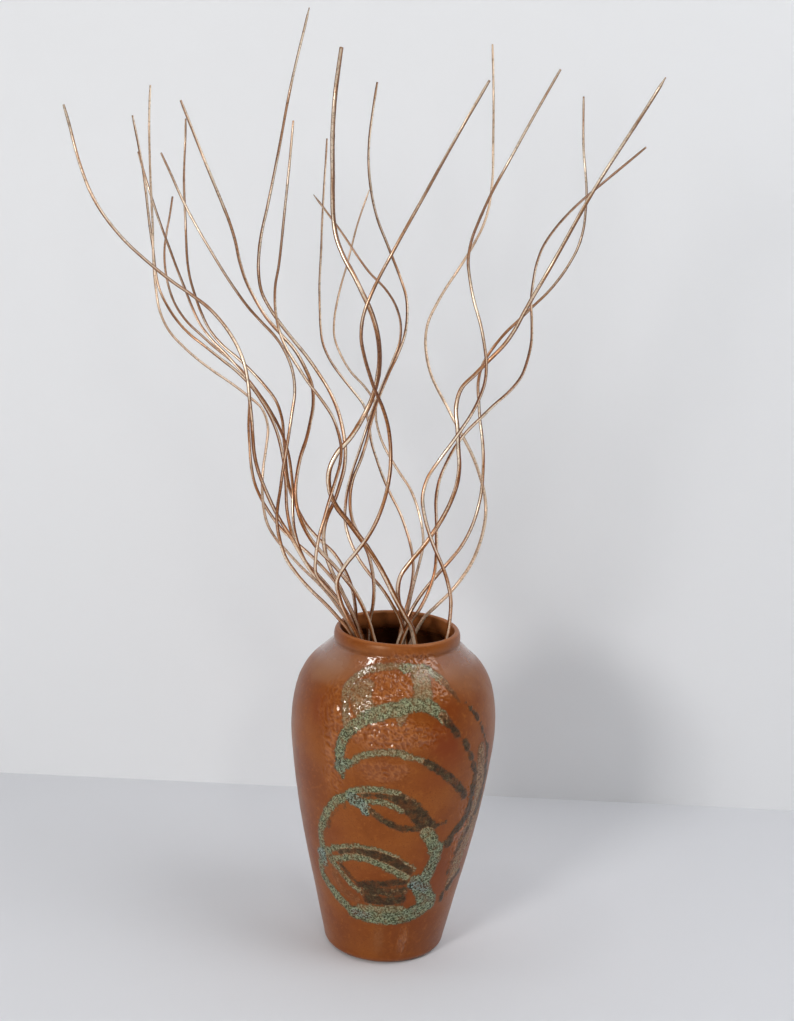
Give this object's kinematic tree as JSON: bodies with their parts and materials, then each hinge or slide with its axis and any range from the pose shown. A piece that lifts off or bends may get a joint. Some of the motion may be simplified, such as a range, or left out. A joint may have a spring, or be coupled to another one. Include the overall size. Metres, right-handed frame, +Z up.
{
  "type": "curly branches in vase",
  "caption": "Bunch of wavy, copper-painted dried branches standing loose in a round-shouldered glazed stoneware vase, as a table or floor arrangement.",
  "frame": {"origin": "middle of the vase's flat foot, on the surface that it stands on", "axes": "+Z up along the vase's axis; -Y towards the viewer of the picture; +X to the viewer's right"},
  "size_m": [0.4668, 0.2781, 0.8082],
  "materials": {
    "vase": "rust-brown stoneware glaze, semi-matt, with crawled glossy patches and trailed grey-green and dark-brown glaze loops",
    "branches": "thin dried shoots painted with satin copper-gold metallic paint, greyer brown towards the tips"
  },
  "bodies": {
    "root": {"vase": "vase", "branch_left_1": "branches", "branch_left_2": "branches", "branch_left_3": "branches", "branch_left_4": "branches", "branch_left_5": "branches", "branch_left_6": "branches", "branch_left_7": "branches", "branch_left_8": "branches", "branch_middle_1": "branches", "branch_middle_2": "branches", "branch_middle_3": "branches", "branch_middle_4": "branches", "branch_middle_5": "branches", "branch_middle_6": "branches", "branch_middle_7": "branches", "branch_right_1": "branches", "branch_right_2": "branches", "branch_right_3": "branches", "branch_right_4": "branches", "branch_right_5": "branches", "branch_right_6": "branches"}
  },
  "joints": []
}
